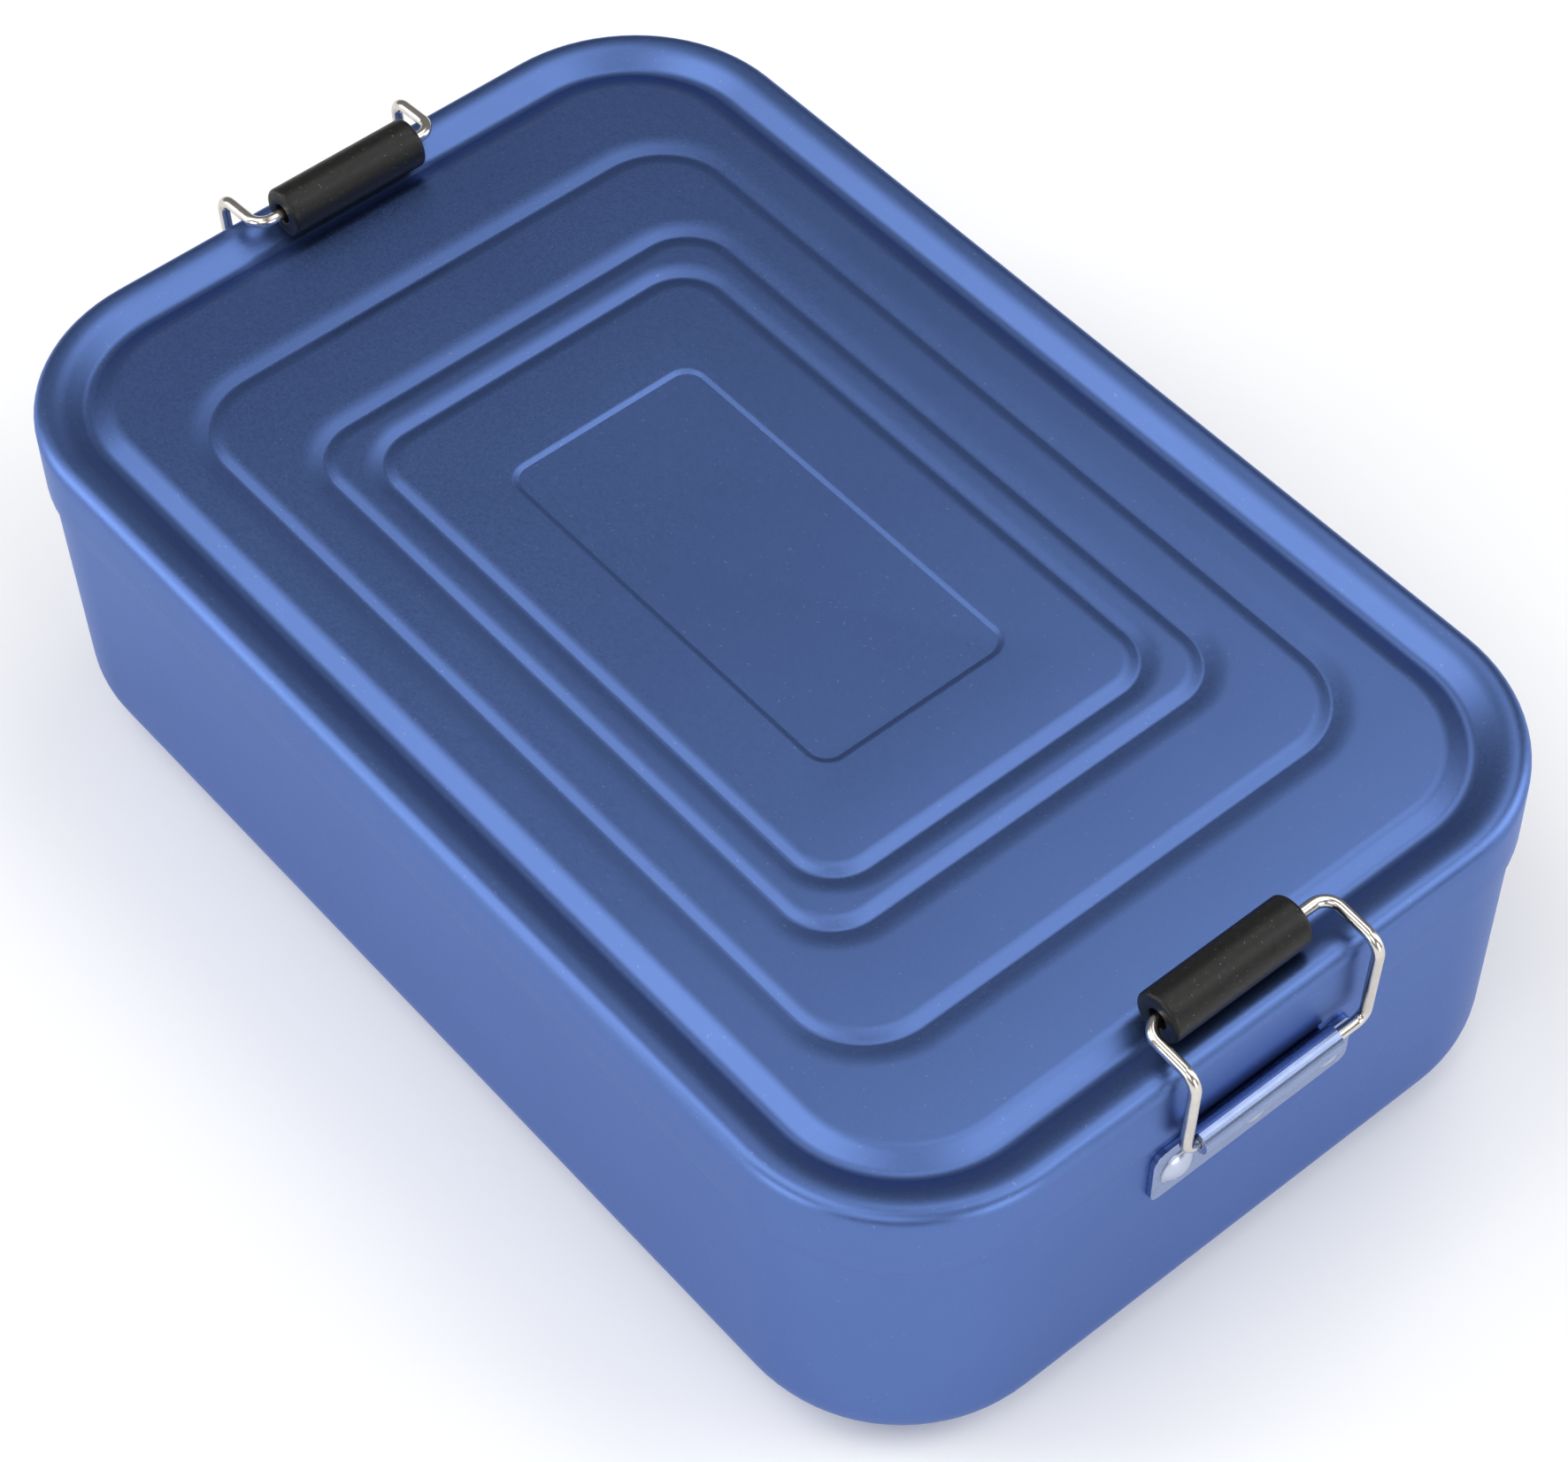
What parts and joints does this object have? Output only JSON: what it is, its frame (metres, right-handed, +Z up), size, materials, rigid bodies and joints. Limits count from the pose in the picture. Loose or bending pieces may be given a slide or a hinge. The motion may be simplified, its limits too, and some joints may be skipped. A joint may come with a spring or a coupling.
{
  "type": "lunch box",
  "caption": "Rectangular metal lunch box with rounded corners, a stepped lift-off lid and a hinged wire clasp with a black grip on each short end.",
  "frame": {"origin": "centre of the flat underside, on the surface that it stands on", "axes": "+X along the length, towards the clasp that the names call near; +Y across; +Z up"},
  "size_m": [0.2388, 0.1466, 0.076],
  "materials": {
    "shell": "satin blue anodised",
    "clasp_metal": "satin",
    "wire": "bright drawn wire",
    "rivet_metal": "satin",
    "grip": "matte black"
  },
  "bodies": {
    "tray": {"base_tray": "shell", "clasp_bracket_near": "clasp_metal", "clasp_bracket_far": "clasp_metal", "rivets_near": "rivet_metal", "rivets_far": "rivet_metal"},
    "lid": {"lid": "shell"},
    "bail_near": {"clasp_bail_near": "wire"},
    "bail_far": {"clasp_bail_far": "wire"},
    "grip_near": {"grip_sleeve_near": "grip"},
    "grip_far": {"grip_sleeve_far": "grip"}
  },
  "joints": [
    {"name": "lid_lift", "type": "slide", "parent": "tray", "child": "lid", "axis": [0, 0, 1], "range_m": [0, 0.0122]},
    {"name": "clasp_swing_near", "type": "hinge", "parent": "tray", "child": "bail_near", "pos_m": [0.1172, 0, 0.052], "axis": [0, 1, 0], "range_deg": [0, 170]},
    {"name": "clasp_swing_far", "type": "hinge", "parent": "tray", "child": "bail_far", "pos_m": [-0.1172, 0, 0.052], "axis": [0, -1, 0], "range_deg": [0, 170]},
    {"name": "grip_turn_near", "type": "hinge", "parent": "bail_near", "child": "grip_near", "pos_m": [0.107, 0, 0.0716], "axis": [0, 1, 0], "continuous": true},
    {"name": "grip_turn_far", "type": "hinge", "parent": "bail_far", "child": "grip_far", "pos_m": [-0.107, 0, 0.0716], "axis": [0, -1, 0], "continuous": true}
  ],
  "couplings": [
    {"joint": "clasp_swing_near", "follows": "lid_lift", "rad_per_m": 243},
    {"joint": "clasp_swing_far", "follows": "lid_lift", "rad_per_m": 243}
  ]
}
